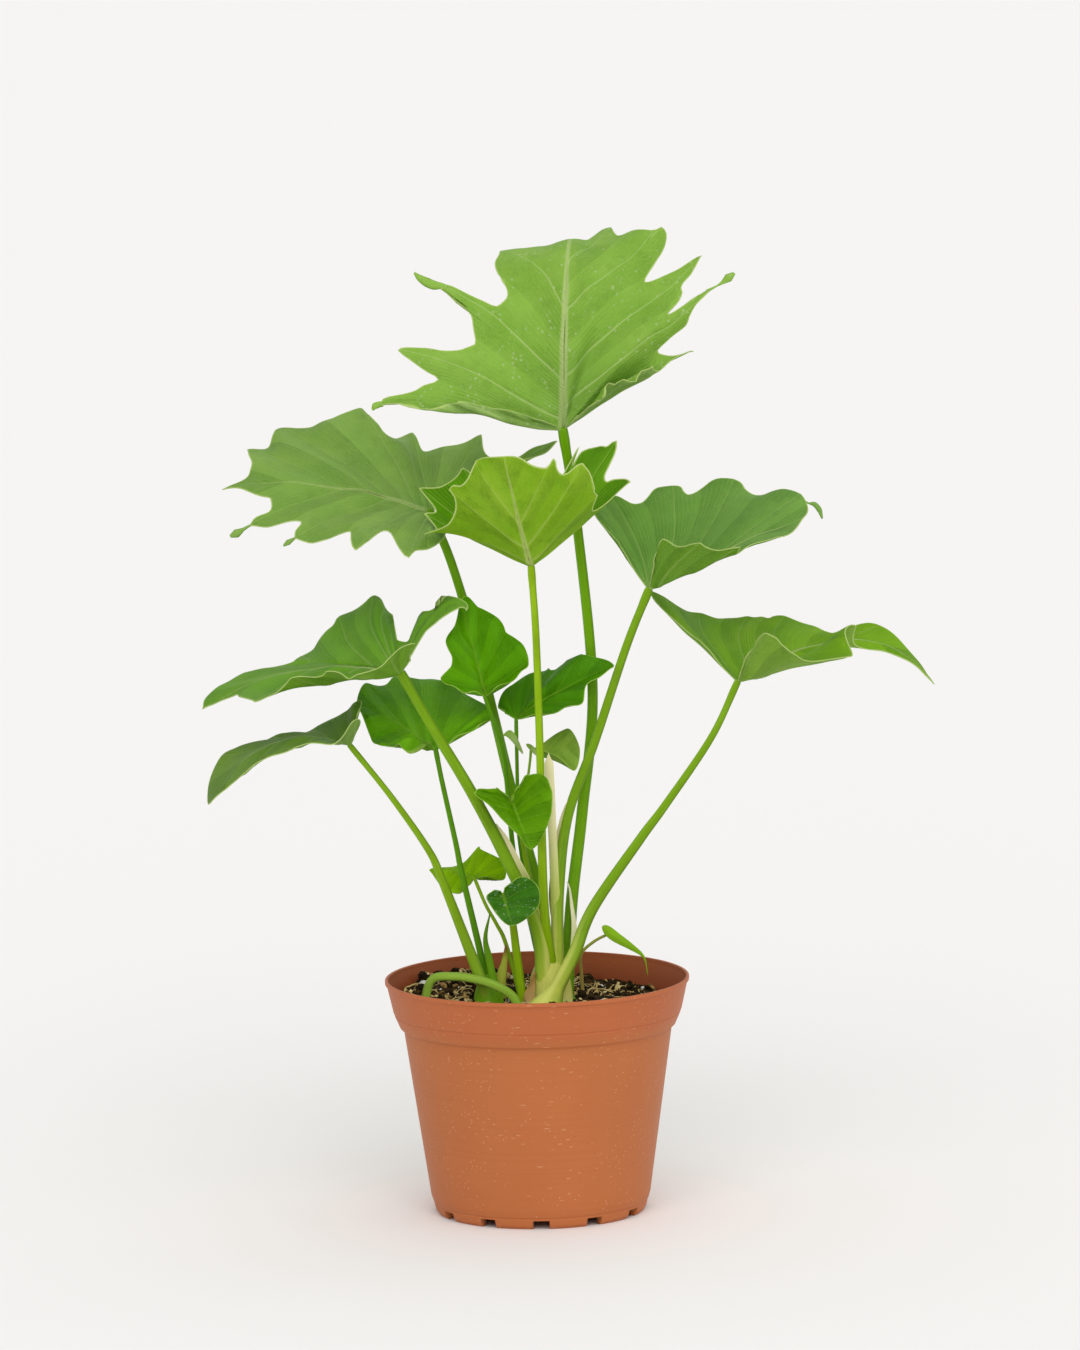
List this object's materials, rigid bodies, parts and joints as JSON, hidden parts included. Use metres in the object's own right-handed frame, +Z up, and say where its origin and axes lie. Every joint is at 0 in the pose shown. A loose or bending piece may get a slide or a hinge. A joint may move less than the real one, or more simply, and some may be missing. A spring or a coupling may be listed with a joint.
{
  "type": "potted philodendron",
  "caption": "Young lobed-leaf philodendron house plant with fanned leaves on long petioles, growing in damp soil in a round tapered nursery pot.",
  "frame": {"origin": "middle of the pot's base, on the surface that the pot stands on", "axes": "+Z up, out of the pot; the plant faces -Y, with the furthest-reaching leaf towards +X"},
  "size_m": [0.4043, 0.1901, 0.5473],
  "materials": {
    "terracotta_plastic": "satin moulded polypropylene, terracotta colour",
    "peat": "damp dark potting mix, rough",
    "pale_stem": "pale cream-green living stem, satin",
    "petiole_green": "smooth fresh green stalk, satin",
    "dry_sheath": "thin pale sheath, satin",
    "leaf_light": "young light green blade, satin",
    "leaf_mid": "grown mid-green blade, satin",
    "leaf_dark": "dark green blade, satin"
  },
  "bodies": {
    "root": {"blade_centre": "leaf_light", "blade_hanging_heart": "leaf_light", "blade_inner": "leaf_dark", "blade_inner_right": "leaf_mid", "blade_low_bright": "leaf_light", "blade_low_heart": "leaf_dark", "blade_lower_left": "leaf_mid", "blade_lower_right": "leaf_mid", "blade_mid_left": "leaf_mid", "blade_tiny": "leaf_mid", "blade_top": "leaf_light", "blade_upper_left": "leaf_mid", "blade_upper_right": "leaf_mid", "blade_upright": "leaf_dark", "crown_main": "pale_stem", "crown_side": "pale_stem", "fallen_stem": "petiole_green", "petiole_centre": "petiole_green", "petiole_hanging_heart": "petiole_green", "petiole_inner": "petiole_green", "petiole_inner_right": "petiole_green", "petiole_low_bright": "petiole_green", "petiole_low_heart": "petiole_green", "petiole_lower_left": "petiole_green", "petiole_lower_right": "petiole_green", "petiole_mid_left": "petiole_green", "petiole_tiny": "petiole_green", "petiole_top": "petiole_green", "petiole_upper_left": "petiole_green", "petiole_upper_right": "petiole_green", "petiole_upright": "petiole_green", "pot": "terracotta_plastic", "scale_green": "petiole_green", "scale_tipped": "dry_sheath", "seedling_leaf": "leaf_light", "seedling_stalk": "petiole_green", "sheath_back": "dry_sheath", "sheath_tall": "dry_sheath", "soil": "peat"}
  },
  "joints": []
}
